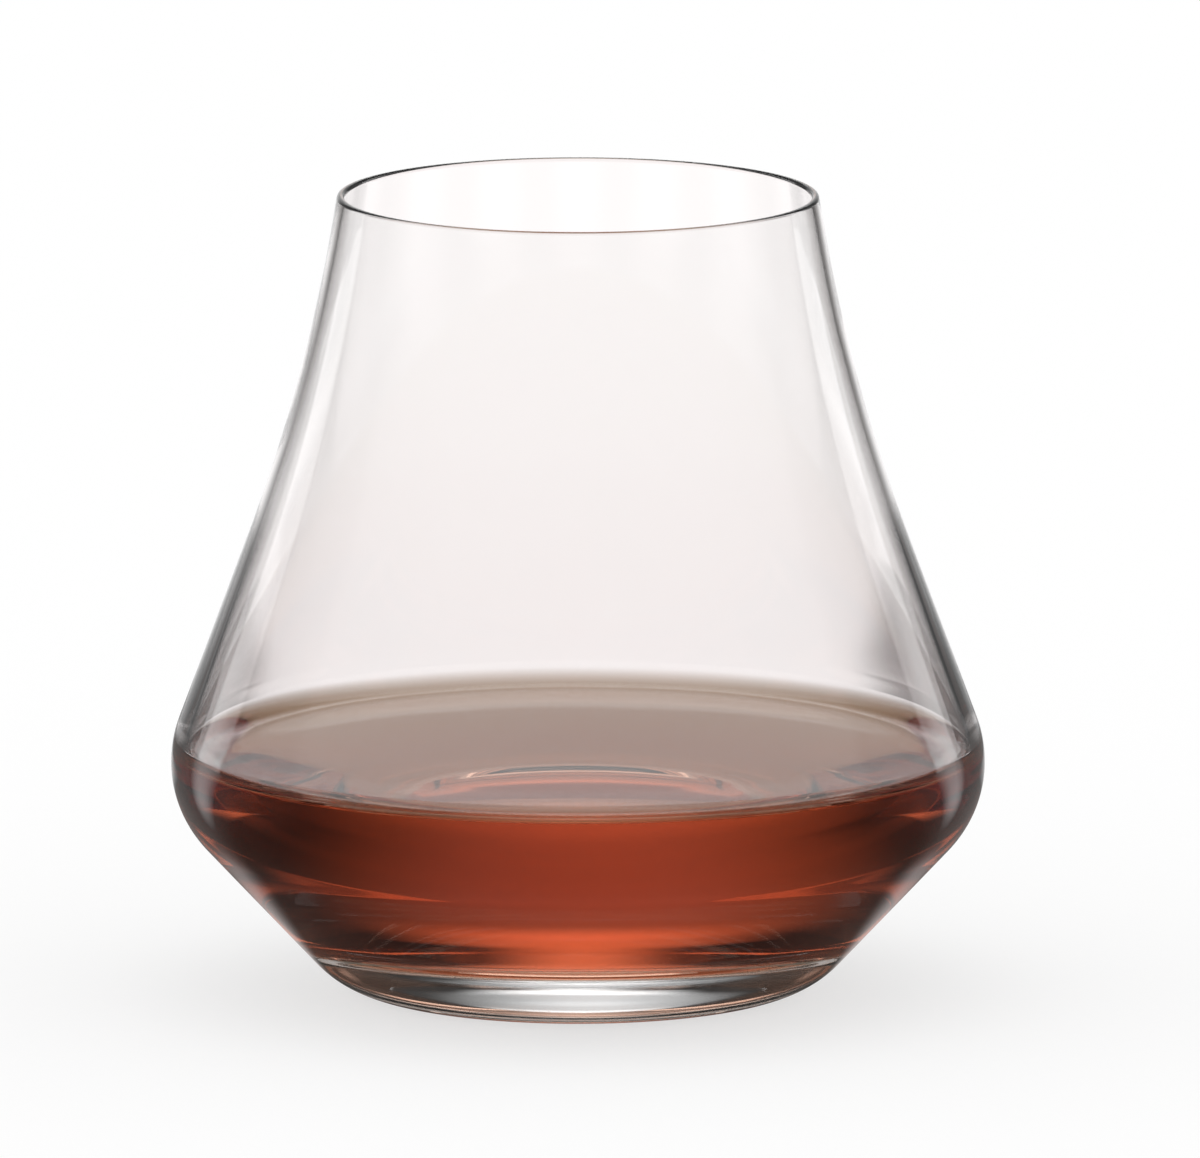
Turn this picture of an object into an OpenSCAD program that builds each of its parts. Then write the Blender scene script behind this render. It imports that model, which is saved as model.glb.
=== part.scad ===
// Stemless rum glass: a low wide belly on a heavy base, drawn in to a narrow mouth, with a measure of rum.
// Millimetres, +Z up. The origin is on the axis, at the level of the table.

/* [Glass outline] */
// Overall height, from the table to the top of the rim
glass_h = 89; // [80:0.5:100]
// Widest diameter, round the belly
belly_d = 90; // [84:0.5:96]
// Height of the widest ring above the table
belly_z = 25.6; // [23:0.1:28]
// Radius of the turn from the lower cone into the upper wall
shoulder_r = 13; // [10:0.5:15]
// Outside diameter of the rim
rim_d = 53.3; // [48:0.1:58]
// Lean of the wall from upright where it reaches the rim, in degrees
rim_lean = 8.8; // [6:0.1:11]
// Length of half of the neck's hollow curve, from the rim down
neck_l = 19.6; // [12:0.2:26]
// Outer diameter of the flat ring that the glass stands on
foot_d = 41.6; // [36:0.2:46]
// Radius of the turn from the standing ring into the lower cone
foot_r = 11.6; // [9:0.1:13]

/* [Glass walls] */
// Wall at the rim and through the neck
rim_wall = 0.9; // [0.7:0.1:1.5]
// Wall at the belly, from where it thickens down to the base
belly_wall = 1.5; // [1.2:0.1:2.5]
// Height of the lowest ring of the bowl's floor above the table
floor_z = 8.2; // [6:0.1:10]
// Diameter of the lowest ring of the floor
floor_d = 49; // [45:0.5:53]
// Height of the floor's domed middle above its lowest ring
floor_rise = 2; // [1:0.1:3]
// Radius of the bowl's bottom corner
bowl_r = 9; // [6:0.5:10]
// Width of the flat ring that the glass stands on
foot_land = 1.8; // [1.2:0.1:4]
// Depth of the hollow under the foot
punt_h = 1.6; // [0.8:0.1:2.4]

/* [Rum] */
// Height of the rum's level surface above the table
rum_z = 25.4; // [20:0.1:40]
// Capillary length of the rum, which sets how far it climbs the wall
capillary = 1.8; // [1.5:0.1:2.4]
// Angle between the wall and the top of the climbing edge, in degrees
contact_a = 5; // [5:1:40]
// Clearance between the rum and the glass
rum_gap = 0.1; // [0.05:0.05:0.3]

/* [Hidden] */
$fn = 180;
// Largest distance between an arc and its chords
chord_tol = 0.01;
// Width of the blunt edge of the rum where it meets the wall
rum_edge = 0.2;
// Slope, in degrees, at which the climbing edge counts as level, and the number of its chords
level_a = 1;
climb_count = 24;
glass_colour = [0.93, 0.94, 0.94, 0.35];
rum_colour = [0.55, 0.18, 0.09, 0.9];

// Centres of the arcs of the outline, as [radius, height]
foot_c = [foot_d / 2, foot_r];
shoulder_c = [belly_d / 2 - shoulder_r, belly_z];
rim_c = [(rim_d - rim_wall) / 2, glass_h - rim_wall / 2];

// The lines of the upper wall and of the rim meet at a corner that the neck's curve rounds off
rim_edge = rim_c + polar(rim_wall / 2, rim_lean);
neck_corner = rim_edge + polar(neck_l, rim_lean - 90);

// Directions in which the lower cone and the upper wall face, from level
lower_a = tangent_a(foot_c, foot_r, shoulder_c, shoulder_r);
upper_a = tangent_a(shoulder_c, shoulder_r, neck_corner, 0);
neck_r = neck_l / tan((upper_a - rim_lean) / 2);
neck_c = rim_edge + polar(neck_r, rim_lean);

// The bowl's arcs share the centres of the outside's, so its wall grows evenly from the neck to the shoulder
bowl_shoulder_r = shoulder_r - belly_wall;
bowl_neck_r = neck_r + rim_wall;
bowl_upper_a = tangent_a(shoulder_c, bowl_shoulder_r, neck_c, -bowl_neck_r);
// The bottom corner stands on the floor's lowest ring, and a cone joins it to the inside of the shoulder
bowl_c = [floor_d / 2, floor_z + bowl_r];
bowl_lower_a = tangent_a(bowl_c, bowl_r, shoulder_c, bowl_shoulder_r);
// The floor's dome is a cap of a sphere that runs smoothly into the corner
dome_r = (bowl_c.x * bowl_c.x + floor_rise * floor_rise) / (2 * floor_rise) - bowl_r;
dome_a = asin(bowl_c.x / (dome_r + bowl_r));
dome_c = [0, floor_z + floor_rise - dome_r];

// The hollow under the foot is a shallow cap of a sphere
punt_x = foot_d / 2 - foot_land;
punt_r = (punt_x * punt_x + punt_h * punt_h) / (2 * punt_h);
punt_c = [0, punt_h - punt_r];

// The rum's climbing edge is steepest at the wall, whose lean where it ends is found in two steps
reach_z = rum_z + climb(wall_slope(rum_z) - contact_a).y;
steep_a = wall_slope(reach_z) - contact_a;
contact_z = rum_z + climb(steep_a).y;
contact_x = bowl_wall_x(contact_z, rum_gap) - rum_edge;

function polar(r, a) = [r * cos(a), r * sin(a)];

// Points of an arc, with chords as fine as its radius needs
function arc_count(r, sweep) = max(2, ceil(abs(sweep) / (2 * acos(1 - chord_tol / r))));
function arc(c, r, from, to) =
    let (n = arc_count(r, to - from))
    [for (i = [0:n]) c + polar(r, from + (to - from) * i / n)];

function reversed(points) = [for (i = [len(points) - 1:-1:0]) points[i]];

// Direction that a line touching two circles faces; it passes between them where r2 is negative
function tangent_a(c1, r1, c2, r2) =
    let (v = c2 - c1)
    atan2(v.y, v.x) - acos((r1 - r2) / norm(v));

// Radius, at height z, of the line that faces direction a and passes r outside the shoulder's centre
function line_x(a, r, z) = (shoulder_c * polar(1, a) + r - z * sin(a)) / cos(a);

// Slope of the bowl's wall at height z, below the neck's curve: more than 90 where it leans inwards
function wall_slope(z) =
    90 + asin(min(sin(bowl_upper_a), max(sin(bowl_lower_a), (z - belly_z) / bowl_shoulder_r)));

// Radius of the bowl's wall at height z, below the neck's curve, moved inwards by inset
function bowl_wall_x(z, inset) =
    let (r = bowl_shoulder_r - inset)
    z < belly_z + r * sin(bowl_lower_a) ? line_x(bowl_lower_a, r, z)
    : z > belly_z + r * sin(bowl_upper_a) ? line_x(bowl_upper_a, r, z)
    : shoulder_c.x + sqrt(r * r - (z - belly_z) * (z - belly_z));

// Outline of the bowl from the middle of its floor up to the rim, moved inwards by inset
function bowl_outline(inset) = concat(
    arc(dome_c, dome_r + inset, 90, 90 - dome_a),
    arc(bowl_c, bowl_r - inset, -90 - dome_a, bowl_lower_a),
    arc(shoulder_c, bowl_shoulder_r - inset, bowl_lower_a, bowl_upper_a),
    arc(neck_c, bowl_neck_r + inset, 180 + bowl_upper_a, 180 + rim_lean)
);

// Outline of the outside from the edge of the standing ring up to the rim
function outside_outline() = concat(
    arc(foot_c, foot_r, -90, lower_a),
    arc(shoulder_c, shoulder_r, lower_a, upper_a),
    arc(neck_c, neck_r, 180 + upper_a, 180 + rim_lean)
);

// Point of a liquid's climbing edge where it has this slope: the height is above the level surface
function climb(slope) = capillary * [ln(tan(slope / 4)) + 2 * cos(slope / 2), 2 * sin(slope / 2)];

// The climbing edge from the wall down to the level surface
function climb_outline() =
    let (shift = [contact_x - climb(steep_a).x, rum_z])
    [for (i = [0:climb_count]) shift + climb(steep_a + (level_a - steep_a) * i / climb_count)];

// One piece of clear glass: hollow foot, outside, rounded rim and bowl
module glass() {
    punt = arc(punt_c, punt_r, 90, 90 - asin(punt_x / punt_r));
    rim = arc(rim_c, rim_wall / 2, rim_lean, 180 + rim_lean);
    color(glass_colour)
        rotate_extrude()
            polygon(concat(punt, outside_outline(), rim, reversed(bowl_outline(0))));
}

// The measure of rum: what the bowl holds below the surface and its climbing edge
module rum() {
    mouth = [0, glass_h];
    below_surface = concat([[0, 0], [belly_d, 0], [belly_d, contact_z]], climb_outline(), [[0, rum_z]]);
    color(rum_colour)
        rotate_extrude()
            intersection() {
                polygon(concat(bowl_outline(rum_gap), [mouth]));
                polygon(below_surface);
            }
}

glass();
rum();
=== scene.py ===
"""Stemless rum glass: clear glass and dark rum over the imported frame, on a pale table in studio light."""
import math

import bmesh
import bpy
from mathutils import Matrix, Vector


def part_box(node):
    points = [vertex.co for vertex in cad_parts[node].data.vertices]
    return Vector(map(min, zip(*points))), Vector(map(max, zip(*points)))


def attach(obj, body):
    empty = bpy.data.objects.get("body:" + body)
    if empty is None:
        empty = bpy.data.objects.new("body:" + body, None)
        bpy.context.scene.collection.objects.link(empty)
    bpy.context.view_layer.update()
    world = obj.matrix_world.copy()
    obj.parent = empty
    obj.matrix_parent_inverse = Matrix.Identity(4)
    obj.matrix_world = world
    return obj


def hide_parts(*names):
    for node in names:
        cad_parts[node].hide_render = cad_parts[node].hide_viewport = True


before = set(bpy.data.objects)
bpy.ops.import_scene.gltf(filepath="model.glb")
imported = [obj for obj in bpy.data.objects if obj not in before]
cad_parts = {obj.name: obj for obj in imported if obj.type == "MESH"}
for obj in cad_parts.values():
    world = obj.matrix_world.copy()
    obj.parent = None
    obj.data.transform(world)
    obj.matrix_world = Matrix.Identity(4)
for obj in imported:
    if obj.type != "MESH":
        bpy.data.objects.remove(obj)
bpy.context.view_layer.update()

MM = 0.001

# The glass, in millimetres; its height and width come from the frame
glass_low, glass_high = (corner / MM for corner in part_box("glass"))
GLASS_H = glass_high.z
BELLY_R = (glass_high.x - glass_low.x) / 2
BELLY_Z = 25.6
SHOULDER_R = 13.0
RIM_R = 26.65
RIM_LEAN = math.radians(8.8)
NECK_L = 19.6
FOOT_X = 20.8
FOOT_R = 11.6
RIM_WALL = 0.9
BELLY_WALL = 1.5
FLOOR_Z = 8.2
FLOOR_X = 24.5
FLOOR_RISE = 2.0
BOWL_R = 9.0
FOOT_LAND = 1.8
PUNT_H = 1.6

# The rum, in millimetres; its gap is an overlap, so that light passes straight from glass to rum
RUM_Z = 25.4
CAPILLARY = 1.8
TOUCH = math.radians(5)
FLAT = math.radians(1)
RUM_GAP = -0.01

# Fineness of the meshes, with lengths in millimetres
SEGMENTS = 480
ARC_STEP = math.radians(2)
ARC_LEAST = 3
PATH_STEP = 2.0
EDGE_STEPS = 60
CLOSE = 0.002
ON_AXIS = 1e-6
SHARP = math.radians(40)

# Optics; waves and hazes are counted per metre, and the depth of the waves is in metres
N_GLASS = 1.52
N_RUM = 1.36
RUM_DENSITY = 60.0
RUM_ABSORB = (0.817, 0.385, 0.133, 1.0)
WAVES = 45.0
WAVE_DETAIL = 1.0
WAVE_DEPTH = 0.00006
HAZES = 160.0
HAZE_DETAIL = 4.0
HAZE_SHARE = (0.45, 0.75)
HAZE_ROUGHNESS = 0.03
HAZE_TINT = (0.994, 0.996, 0.994, 1)
WHITE = (1, 1, 1, 1)
BLACK = (0, 0, 0, 1)
MOST_BOUNCES = 32
GLOSSY_BOUNCES = 16

# The photograph's frame in pixels, and its camera: the target in millimetres, the distance in metres
PHOTO_W = 1200
PHOTO_H = 1158
AXIS_COLUMN = 578.0
TARGET_ROW = 596.6
TARGET_Z = 44.0
CAMERA_DISTANCE = 4.0
CAMERA_ELEVATION = math.radians(9.68)
PIXELS_PER_MM = 9.05
SENSOR = 36.0


def polar(length, angle):
    return Vector((length * math.cos(angle), length * math.sin(angle)))


def tangent_a(first, first_r, second, second_r):
    """Direction that a line touching two circles faces; it passes between them if second_r is negative."""
    between = second - first
    return math.atan2(between.y, between.x) - math.acos((first_r - second_r) / between.length)


def arc(centre, radius, start, end):
    turn = abs(end - start)
    count = max(ARC_LEAST, math.ceil(turn / ARC_STEP), math.ceil(radius * turn / PATH_STEP))
    return [centre + polar(radius, start + (end - start) * i / count) for i in range(count + 1)]


def filled(points):
    """The same outline without doubled points, and with points added along its straight stretches."""
    path = [points[0]]
    for point in points[1:]:
        start = path[-1]
        gap = (point - start).length
        if gap > CLOSE:
            steps = math.ceil(gap / PATH_STEP)
            path += [start.lerp(point, (i + 1) / steps) for i in range(steps)]
    return path


# Centres, radii and directions that follow from the sizes; a direction ends in _a and is in radians
DOWN = -math.pi / 2
foot_c = Vector((FOOT_X, FOOT_R))
shoulder_c = Vector((BELLY_R - SHOULDER_R, BELLY_Z))
rim_c = Vector((RIM_R - RIM_WALL / 2, GLASS_H - RIM_WALL / 2))
rim_edge = rim_c + polar(RIM_WALL / 2, RIM_LEAN)
neck_corner = rim_edge + polar(NECK_L, RIM_LEAN + DOWN)
lower_a = tangent_a(foot_c, FOOT_R, shoulder_c, SHOULDER_R)
upper_a = tangent_a(shoulder_c, SHOULDER_R, neck_corner, 0)
neck_r = NECK_L / math.tan((upper_a - RIM_LEAN) / 2)
neck_c = rim_edge + polar(neck_r, RIM_LEAN)
bowl_shoulder_r = SHOULDER_R - BELLY_WALL
bowl_neck_r = neck_r + RIM_WALL
bowl_upper_a = tangent_a(shoulder_c, bowl_shoulder_r, neck_c, -bowl_neck_r)
bowl_c = Vector((FLOOR_X, FLOOR_Z + BOWL_R))
bowl_lower_a = tangent_a(bowl_c, BOWL_R, shoulder_c, bowl_shoulder_r)
dome_r = (FLOOR_X**2 + FLOOR_RISE**2) / (2 * FLOOR_RISE) - BOWL_R
dome_a = math.asin(FLOOR_X / (dome_r + BOWL_R))


def line_x(facing, offset, z):
    """Radius, at height z, of the line that faces this way and passes offset outside shoulder_c."""
    return (shoulder_c.dot(polar(1, facing)) + offset - z * math.sin(facing)) / math.cos(facing)


def bowl_wall_x(z, inset):
    """Radius of the bowl's wall at height z, above the cone and below the neck's curve."""
    radius = bowl_shoulder_r - inset
    if z > BELLY_Z + radius * math.sin(bowl_upper_a):
        return line_x(bowl_upper_a, radius, z)
    return shoulder_c.x + math.sqrt(radius * radius - (z - BELLY_Z) ** 2)


def bowl_outline(inset):
    """The bowl from the middle of its floor up to the rim, moved inwards by inset."""
    return (
        arc(Vector((0, FLOOR_Z + FLOOR_RISE - dome_r)), dome_r + inset, -DOWN, -DOWN - dome_a)
        + arc(bowl_c, BOWL_R - inset, DOWN - dome_a, bowl_lower_a)
        + arc(shoulder_c, bowl_shoulder_r - inset, bowl_lower_a, bowl_upper_a)
        + arc(neck_c, bowl_neck_r + inset, math.pi + bowl_upper_a, math.pi + RIM_LEAN)
    )


def glass_outline():
    punt_x = FOOT_X - FOOT_LAND
    punt_r = (punt_x**2 + PUNT_H**2) / (2 * PUNT_H)
    punt = arc(Vector((0, PUNT_H - punt_r)), punt_r, -DOWN, -DOWN - math.asin(punt_x / punt_r))
    outside = (
        arc(foot_c, FOOT_R, DOWN, lower_a)
        + arc(shoulder_c, SHOULDER_R, lower_a, upper_a)
        + arc(neck_c, neck_r, math.pi + upper_a, math.pi + RIM_LEAN)
    )
    rim = arc(rim_c, RIM_WALL / 2, RIM_LEAN, math.pi + RIM_LEAN)
    return punt, outside, rim, bowl_outline(0)[::-1]


def climb(slope):
    """Place on the capillary curve of the rum's edge with this slope; only differences in x count."""
    run = math.log(math.tan(slope / 4)) + 2 * math.cos(slope / 2)
    rise = 2 * math.sin(slope / 2)
    return CAPILLARY * Vector((run, rise))


def wall_slope(z):
    """Slope of the bowl's wall at height z, below the neck's curve; past upright where it leans in."""
    lean = max(math.sin(bowl_lower_a), (z - BELLY_Z) / bowl_shoulder_r)
    return -DOWN + math.asin(min(math.sin(bowl_upper_a), lean))


# The slope at which the rum's edge ends follows from the wall's slope about where it ends
reach_z = RUM_Z + climb(wall_slope(RUM_Z) - TOUCH).y
steep = wall_slope(reach_z) - TOUCH
contact_z = RUM_Z + climb(steep).y


def rum_outline():
    contact = Vector((0, RUM_Z)) + climb(steep)
    shift = Vector((bowl_wall_x(contact.y, RUM_GAP) - contact.x, RUM_Z))
    wall = [point for point in bowl_outline(RUM_GAP) if point.y < contact.y]
    slopes = [steep + (FLAT - steep) * i / EDGE_STEPS for i in range(EDGE_STEPS + 1)]
    edge = [climb(slope) + shift for slope in slopes]
    return wall, edge + [Vector((0, RUM_Z))]


def revolve(name, paths, materials):
    """A closed mesh about Z, whose outline runs from axis to axis, with one material for each stretch."""
    shell = bmesh.new()
    spots = [spot for path in paths for spot in path]
    slots = [i for i, path in enumerate(paths) for _ in path]
    turns = [2 * math.pi * k / SEGMENTS for k in range(SEGMENTS)]
    rings = []
    for spot in spots:
        if spot.x < ON_AXIS:
            rings.append([shell.verts.new((0, 0, spot.y * MM))] * SEGMENTS)
            continue
        ring = [(spot.x * math.cos(turn) * MM, spot.x * math.sin(turn) * MM, spot.y * MM) for turn in turns]
        rings.append([shell.verts.new(place) for place in ring])
    for i in range(len(spots) - 1):
        for k in range(SEGMENTS):
            following = (k + 1) % SEGMENTS
            corners = [rings[i][k], rings[i][following], rings[i + 1][following], rings[i + 1][k]]
            face = shell.faces.new(list(dict.fromkeys(corners)))
            face.smooth = True
            face.material_index = slots[i + 1]
    bmesh.ops.recalc_face_normals(shell, faces=shell.faces)
    shell.normal_update()
    for edge in shell.edges:
        edge.smooth = edge.calc_face_angle(0.0) < SHARP
    mesh = bpy.data.meshes.new(name)
    shell.to_mesh(mesh)
    shell.free()
    for material in materials:
        mesh.materials.append(material)
    piece = bpy.data.objects.new(name, mesh)
    bpy.context.scene.collection.objects.link(piece)
    return piece


def add(tree, kind, inputs=None, **settings):
    """A node with its settings, and each input set to a value or linked from a socket."""
    node = tree.nodes.new(kind)
    for key, value in settings.items():
        setattr(node, key, value)
    for key, value in (inputs or {}).items():
        if isinstance(value, bpy.types.NodeSocket):
            tree.links.new(value, node.inputs[key])
        else:
            node.inputs[key].default_value = value
    return node


def math_node(tree, operation, a, b=0.0):
    return add(tree, "ShaderNodeMath", {0: a, 1: b}, operation=operation).outputs[0]


def ramp(tree, value, start, end, low=0.0, high=1.0):
    """A smooth step from low at start to high at end."""
    inputs = {"Value": value, "From Min": start, "From Max": end, "To Min": low, "To Max": high}
    return add(tree, "ShaderNodeMapRange", inputs, interpolation_type="SMOOTHSTEP").outputs[0]


def times(tree, *levels):
    product = levels[0]
    for level in levels[1:]:
        product = math_node(tree, "MULTIPLY", product, level)
    return product


def largest(tree, *levels):
    top = levels[0]
    for level in levels[1:]:
        top = math_node(tree, "MAXIMUM", top, level)
    return top


def blend(tree, share, low, high, blend_type="MIX"):
    """A mix of two colours; several of the mix node's sockets share a name, so they are given by number."""
    inputs = {0: share, 6: low, 7: high}
    return add(tree, "ShaderNodeMix", inputs, data_type="RGBA", blend_type=blend_type).outputs[2]


def mix_levels(tree, share, low, high):
    return add(tree, "ShaderNodeMix", {0: share, 2: low, 3: high}).outputs[0]


def noise(tree, place, scale, detail):
    return add(tree, "ShaderNodeTexNoise", {"Vector": place, "Scale": scale, "Detail": detail}).outputs[0]


def new_material(name):
    material = bpy.data.materials.new(name)
    material.use_nodes = True
    material.node_tree.nodes.clear()
    return material, material.node_tree


def clear_material(name, ior, sheen):
    """A clear body; sheen is the share of its reflection that it keeps when seen face on."""
    material, tree = new_material(name)
    place = add(tree, "ShaderNodeTexCoord").outputs["Object"]
    waves = noise(tree, place, WAVES, WAVE_DETAIL)
    wavy = add(tree, "ShaderNodeBump", {"Height": waves, "Strength": 1.0, "Distance": WAVE_DEPTH})
    haze = noise(tree, place, HAZES, HAZE_DETAIL)
    shader = add(
        tree,
        "ShaderNodeBsdfPrincipled",
        {
            "Base Color": blend(tree, haze, WHITE, HAZE_TINT),
            "Roughness": ramp(tree, haze, *HAZE_SHARE, 0.0, HAZE_ROUGHNESS),
            "Normal": wavy.outputs[0],
            "IOR": ior,
            "Transmission Weight": 1.0,
            "Specular Tint": (sheen, sheen, sheen, 1),
        },
    )
    out = add(tree, "ShaderNodeOutputMaterial", {"Surface": shader.outputs[0]})
    return material, tree, out


def rum_material():
    material, tree, out = clear_material("dark_rum", N_RUM, 0.0)
    volume = add(tree, "ShaderNodeVolumeAbsorption", {"Color": RUM_ABSORB, "Density": RUM_DENSITY})
    tree.links.new(volume.outputs[0], out.inputs["Volume"])
    return material


def build_glass():
    punt, outside, rim, bowl = glass_outline()
    path = filled(punt + outside + rim + bowl)
    dry = len(filled(punt + outside + rim))
    wet = next(i for i, point in enumerate(path) if i >= dry and point.y < contact_z)
    dry_glass = clear_material("clear_glass", N_GLASS, 1.0)[0]
    wet_glass = clear_material("wetted_glass", N_GLASS, 0.0)[0]
    piece = revolve("glass_vessel", [path[:wet], path[wet:]], [dry_glass, wet_glass])
    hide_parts("glass")
    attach(piece, "glass")


def build_rum():
    wall, surface = rum_outline()
    piece = revolve("rum_measure", [filled(wall + surface)], [rum_material()])
    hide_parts("rum")
    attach(piece, "rum")


# The camera sees the world and the table white, but refracted and mirrored rays find the patterns below.
# Angles are in degrees, across from the photograph's direction and up from level. Distances are in metres
# from the glass's axis. A pair of either is where a level starts to change and where it has changed
SURROUND = 0.04

# A white field low behind the glass
FIELD_AT = -3.2
FIELD_OUT = 34.5
FIELD_FALLS = (4.5, 9.0)
FIELD_LEVELS = (1.0, 0.76)
FIELD_TOP = (22.0, 15.0)

# A brighter panel above the field, drawn in to a waist
PANEL_AT = -0.4
PANEL_LEVEL = 1.72
PANEL_LOW = (14.0, 20.0)
PANEL_NARROWS = (23.0, 29.0)
PANEL_WIDENS = (36.0, 45.0)
PANEL_FOOT_OUT = 24.0
PANEL_WAIST_OUT = 13.5
PANEL_HEAD_OUT = 60.0
PANEL_HIGH = (50.0, 40.0)
PANEL_TOP_SHARE = 0.45

# A tall bright strip at each side
STRIP_AT = 50.0
STRIP_IN = 6.0
STRIP_OUT = 9.0
STRIP_LEVEL = 1.4
STRIP_LOW = (12.0, 20.0)

# Light overhead
OVERHEAD_LOW = (66.0, 72.0)
OVERHEAD_LEVEL = 0.7

# A low pale sill at each side, for refracted rays
SILL_IN = (33.0, 37.0)
SILL_OUT = (58.0, 52.0)
SILL_TOP = (6.0, 3.0)
SILL_LEVEL = 0.95

# Grey sides, for mirrored rays
GREY_IN = (15.0, 35.0)
GREY_LEVEL = 0.25

# A low room beside and before the glass, paler at regular angles, for refracted rays
ROOM_EVERY = 45.0
ROOM_EDGE = (3.0, 20.0)
ROOM_LEVELS = (0.8, 0.3)
ROOM_IN = (55.0, 75.0)
ROOM_TOP = (10.0, 5.0)

# A taller grey wall on the camera's side of the glass, for refracted rays
FRONT_IN = (83.0, 90.0)
FRONT_TOP = (34.0, 26.0)
FRONT_LEVEL = 0.38

# The table: to refracted rays a painted shadow of the glass, warmed by a painted glow of the rum, close to
# the glass, and pale further out where its field or room is, made a little dimmer nearer the glass by
# painted shade
TABLE_SIZE = 6.0
NEAR_SHADOW_GLOW = (0.32, 0.22, 0.14, 1)
PALE_TINT = (1.025, 0.968, 0.966, 1)
FAR_TINT = (1.08, 1.045, 1.04, 1)
NEAR_TO_PALE = (0.050, 0.125)
PALE_TO_FAR = (0.15, 0.5)

# The table's white field behind the glass, narrower further out, and darkened by a painted shade where it
# would streak the rum
TABLE_FIELD_AT = -1.0
TABLE_FIELD_IN = 10.0
TABLE_FIELD_NARROWS = (0.14, 0.24)
TABLE_FIELD_NEAR_OUT = 48.0
TABLE_FIELD_FAR_OUT = 29.0
SHADE_FROM = (0.17, 0.2)
SHADE_TO = (0.272, 0.258)
SHADE_OFF = (11.0, 16.0)
SHADE_LEVEL = 0.45

# The room on the table, faint at first and full further round, or sooner in a corner near the glass
TABLE_ROOM_IN = (20.0, 35.0)
TABLE_ROOM_FULL = (50.0, 75.0)
TABLE_ROOM_SHARE = 0.15
CORNER_IN = (37.0, 43.0)
CORNER_TO = (0.5, 0.44)

# The table to mirrored rays: painted streaks of the strips' light and the field, over painted shade on
# every side of the glass
STREAK_BLUR = 5.0
STREAK_FROM = (0.056, 0.12)
STREAK_SHARE = 0.9
MIRRORED_FIELD_FROM = (0.1, 0.15)
BEHIND_IN = (90.0, 68.0)
BEHIND_TO = (0.064, 0.044)
BEHIND_FAR_SHARE = 0.3
BEHIND_SHADE = (0.55, 0.51, 0.5, 1)
BESIDE_SHADE = (0.08, 0.075, 0.07, 1)
BEFORE_IN = (125.0, 165.0)
BEFORE_FROM = (0.034, 0.042)
BEFORE_SHADE = (0.24, 0.215, 0.22, 1)
UNDER_SHADOW = (0.1, 0.095, 0.09, 1)

# How much of the table's white is lit and takes the glass's shadow; the rest glows
SHADOW_SHARE = 0.35


def across(tree, x, y, middle=0.0):
    """Angle in degrees, either way, from the direction that is middle degrees off the photograph's."""
    angle = math_node(tree, "DEGREES", math_node(tree, "ARCTAN2", x, y))
    return math_node(tree, "ABSOLUTE", math_node(tree, "SUBTRACT", angle, middle))


def strip_pattern(tree, angle, blur=0.0):
    off = math_node(tree, "ABSOLUTE", math_node(tree, "SUBTRACT", angle, STRIP_AT))
    return ramp(tree, off, STRIP_IN - blur, STRIP_OUT + blur, STRIP_LEVEL, 0.0)


def room_pattern(tree, angle):
    off = math_node(tree, "PINGPONG", angle, ROOM_EVERY / 2)
    return ramp(tree, off, *ROOM_EDGE, *ROOM_LEVELS)


def light_path(tree):
    """Whether a ray is refracted, whether it isn't, and whether it is refracted or mirrored."""
    path = add(tree, "ShaderNodeLightPath").outputs
    refracted = path["Is Transmission Ray"]
    mirrored = math_node(tree, "SUBTRACT", 1.0, refracted)
    return refracted, mirrored, largest(tree, path["Is Glossy Ray"], refracted)


def back_light(tree, axes, rise):
    """The field behind the glass and the panel above it."""
    level = ramp(tree, rise, *FIELD_FALLS, *FIELD_LEVELS)
    field = ramp(tree, across(tree, axes["X"], axes["Y"], FIELD_AT), 0.0, FIELD_OUT, level, SURROUND)
    width = largest(
        tree,
        ramp(tree, rise, *PANEL_NARROWS, PANEL_FOOT_OUT, PANEL_WAIST_OUT),
        ramp(tree, rise, *PANEL_WIDENS, PANEL_WAIST_OUT, PANEL_HEAD_OUT),
    )
    panel = times(
        tree,
        ramp(tree, across(tree, axes["X"], axes["Y"], PANEL_AT), 0.0, width, PANEL_LEVEL, SURROUND),
        ramp(tree, rise, *PANEL_LOW),
        ramp(tree, rise, *PANEL_HIGH, PANEL_TOP_SHARE, 1.0),
    )
    return math_node(tree, "ADD", times(tree, field, ramp(tree, rise, *FIELD_TOP)), panel)


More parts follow.
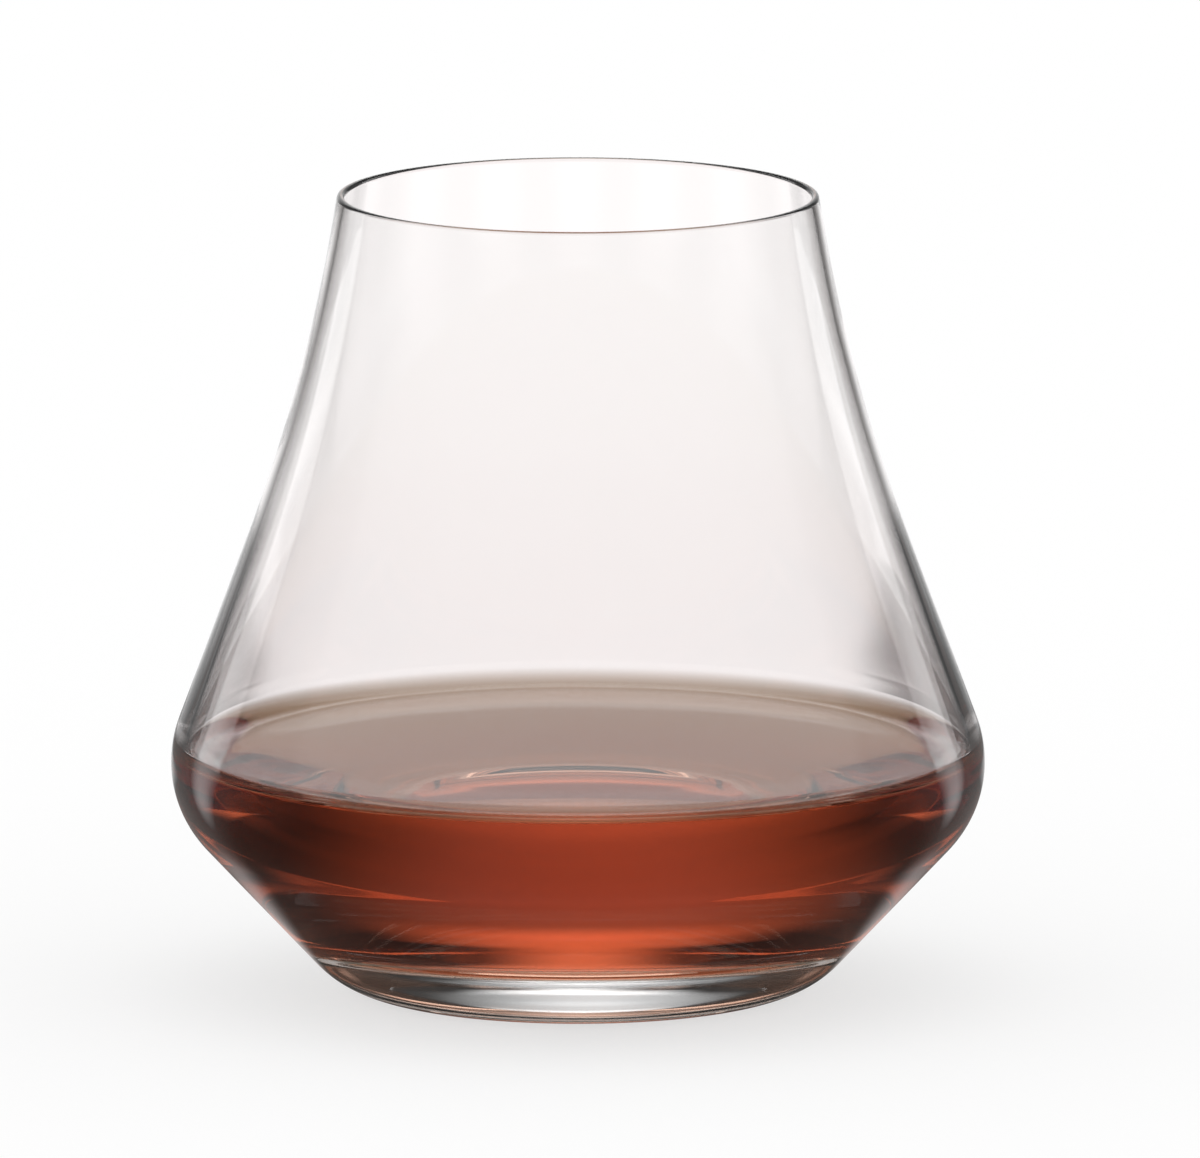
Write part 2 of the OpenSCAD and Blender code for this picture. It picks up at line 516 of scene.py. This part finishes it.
def build_world():
    world = bpy.data.worlds.new("studio")
    bpy.context.scene.world = world
    world.use_nodes = True
    world.cycles.sampling_method = "NONE"
    tree = world.node_tree
    tree.nodes.clear()
    refracted, mirrored, seen = light_path(tree)
    way = add(tree, "ShaderNodeTexCoord").outputs["Generated"]
    axes = add(tree, "ShaderNodeSeparateXYZ", {0: way}).outputs
    angle = across(tree, axes["X"], axes["Y"])
    rise = math_node(tree, "DEGREES", math_node(tree, "ARCSINE", axes["Z"]))
    strip = times(tree, strip_pattern(tree, angle), largest(tree, mirrored, ramp(tree, rise, *STRIP_LOW)))
    sill = times(
        tree,
        ramp(tree, angle, *SILL_IN),
        ramp(tree, angle, *SILL_OUT),
        ramp(tree, rise, *SILL_TOP, 0.0, SILL_LEVEL),
        refracted,
    )
    room = times(
        tree,
        room_pattern(tree, angle),
        ramp(tree, angle, *ROOM_IN),
        ramp(tree, rise, *ROOM_TOP),
        refracted,
    )
    front = times(
        tree,
        ramp(tree, angle, *FRONT_IN, 0.0, FRONT_LEVEL),
        ramp(tree, rise, *FRONT_TOP),
        refracted,
    )
    overhead = ramp(tree, rise, *OVERHEAD_LOW, SURROUND, OVERHEAD_LEVEL)
    grey = times(tree, mirrored, ramp(tree, angle, *GREY_IN, 0.0, GREY_LEVEL))
    pattern = largest(tree, back_light(tree, axes, rise), strip, sill, room, overhead, grey, front)
    strength = mix_levels(tree, seen, 1.0, pattern)
    glow = add(tree, "ShaderNodeBackground", {"Color": WHITE, "Strength": strength})
    add(tree, "ShaderNodeOutputWorld", {"Surface": glow.outputs[0]})


def table_field(tree, axes, out):
    off = across(tree, axes["X"], axes["Y"], TABLE_FIELD_AT)
    width = ramp(tree, out, *TABLE_FIELD_NARROWS, TABLE_FIELD_NEAR_OUT, TABLE_FIELD_FAR_OUT)
    # A painted shade darkens the field part of the way out, where it would streak the rum
    shade = times(tree, ramp(tree, out, *SHADE_FROM), ramp(tree, out, *SHADE_TO), ramp(tree, off, *SHADE_OFF))
    level = ramp(tree, shade, 0.0, 1.0, 1.0, SHADE_LEVEL)
    return ramp(tree, off, TABLE_FIELD_IN, width, level, SURROUND)


def refracted_table(tree, angle, out, field, refracted):
    corner = times(tree, ramp(tree, angle, *CORNER_IN), ramp(tree, out, *CORNER_TO))
    share = largest(tree, ramp(tree, angle, *TABLE_ROOM_FULL, TABLE_ROOM_SHARE, 1.0), corner)
    room = times(tree, room_pattern(tree, angle), share, refracted, ramp(tree, angle, *TABLE_ROOM_IN))
    # Painted shade makes the pale table a little dimmer and pinker nearer the glass
    pale = blend(tree, ramp(tree, out, *PALE_TO_FAR), PALE_TINT, FAR_TINT)
    pale = blend(tree, largest(tree, field, room), BLACK, pale)
    # Close to the glass the table has a painted shadow, warmed by a painted glow of the rum
    return blend(tree, ramp(tree, out, *NEAR_TO_PALE), NEAR_SHADOW_GLOW, pale)


def mirrored_table(tree, axes, angle, out, field):
    side = math_node(tree, "SUBTRACT", math_node(tree, "ABSOLUTE", axes["X"]), BELLY_R * MM)
    # Painted streaks of the strips' light on the table, fading in away from the glass
    streak = times(
        tree,
        strip_pattern(tree, across(tree, side, axes["Y"]), STREAK_BLUR),
        ramp(tree, out, *STREAK_FROM, 0.0, STREAK_SHARE),
    )
    bright = largest(tree, streak, times(tree, field, ramp(tree, out, *MIRRORED_FIELD_FROM)))
    # Painted shade: dark beside the glass, lighter behind it, most of all close to it
    share = times(tree, ramp(tree, angle, *BEHIND_IN), ramp(tree, out, *BEHIND_TO, BEHIND_FAR_SHARE, 1.0))
    behind = blend(tree, share, BESIDE_SHADE, BEHIND_SHADE)
    # A painted shadow under the glass, and a dimly lit table before it
    before = blend(tree, ramp(tree, out, *BEFORE_FROM), UNDER_SHADOW, BEFORE_SHADE)
    painted_shade = blend(tree, ramp(tree, angle, *BEFORE_IN), behind, before)
    return blend(tree, 1.0, painted_shade, bright, "LIGHTEN")


def build_table():
    bpy.ops.mesh.primitive_plane_add(size=TABLE_SIZE)
    table = bpy.context.object
    table.name = "table"
    material, tree = new_material("pale_table")
    refracted, mirrored, seen = light_path(tree)
    place = add(tree, "ShaderNodeTexCoord").outputs["Object"]
    axes = add(tree, "ShaderNodeSeparateXYZ", {0: place}).outputs
    angle = across(tree, axes["X"], axes["Y"])
    out = add(tree, "ShaderNodeVectorMath", {0: place}, operation="LENGTH").outputs["Value"]
    field = table_field(tree, axes, out)
    # To refracted and mirrored rays the table glows with painted light and shade
    painted_light_and_shade = blend(
        tree,
        mirrored,
        refracted_table(tree, angle, out, field, refracted),
        mirrored_table(tree, axes, angle, out, field),
    )
    glow = add(tree, "ShaderNodeEmission", {"Color": painted_light_and_shade, "Strength": 1.0})
    lit = add(tree, "ShaderNodeBsdfDiffuse", {"Color": WHITE})
    white = add(tree, "ShaderNodeEmission", {"Color": WHITE, "Strength": 1.0})
    shown = add(tree, "ShaderNodeMixShader", {0: SHADOW_SHARE, 1: white.outputs[0], 2: lit.outputs[0]})
    mix = add(tree, "ShaderNodeMixShader", {0: seen, 1: shown.outputs[0], 2: glow.outputs[0]})
    add(tree, "ShaderNodeOutputMaterial", {"Surface": mix.outputs[0]})
    table.data.materials.append(material)


def build_camera():
    data = bpy.data.cameras.new("photo_camera")
    data.sensor_width = SENSOR
    data.lens = PIXELS_PER_MM * CAMERA_DISTANCE / MM * SENSOR / PHOTO_W
    data.shift_x = (PHOTO_W / 2 - AXIS_COLUMN) / PHOTO_W
    data.shift_y = (TARGET_ROW - PHOTO_H / 2) / PHOTO_W
    camera = bpy.data.objects.new("photo_camera", data)
    bpy.context.scene.collection.objects.link(camera)
    back = Vector((0, -math.cos(CAMERA_ELEVATION), math.sin(CAMERA_ELEVATION)))
    camera.location = Vector((0, 0, TARGET_Z * MM)) + back * CAMERA_DISTANCE
    camera.rotation_euler = (-back).to_track_quat("-Z", "Y").to_euler()
    bpy.context.scene.camera = camera


def set_up_render():
    scene = bpy.context.scene
    scene.view_settings.view_transform = "Standard"
    scene.cycles.max_bounces = MOST_BOUNCES
    scene.cycles.transmission_bounces = MOST_BOUNCES
    scene.cycles.glossy_bounces = GLOSSY_BOUNCES


build_camera()
build_glass()
build_rum()
build_world()
build_table()
set_up_render()
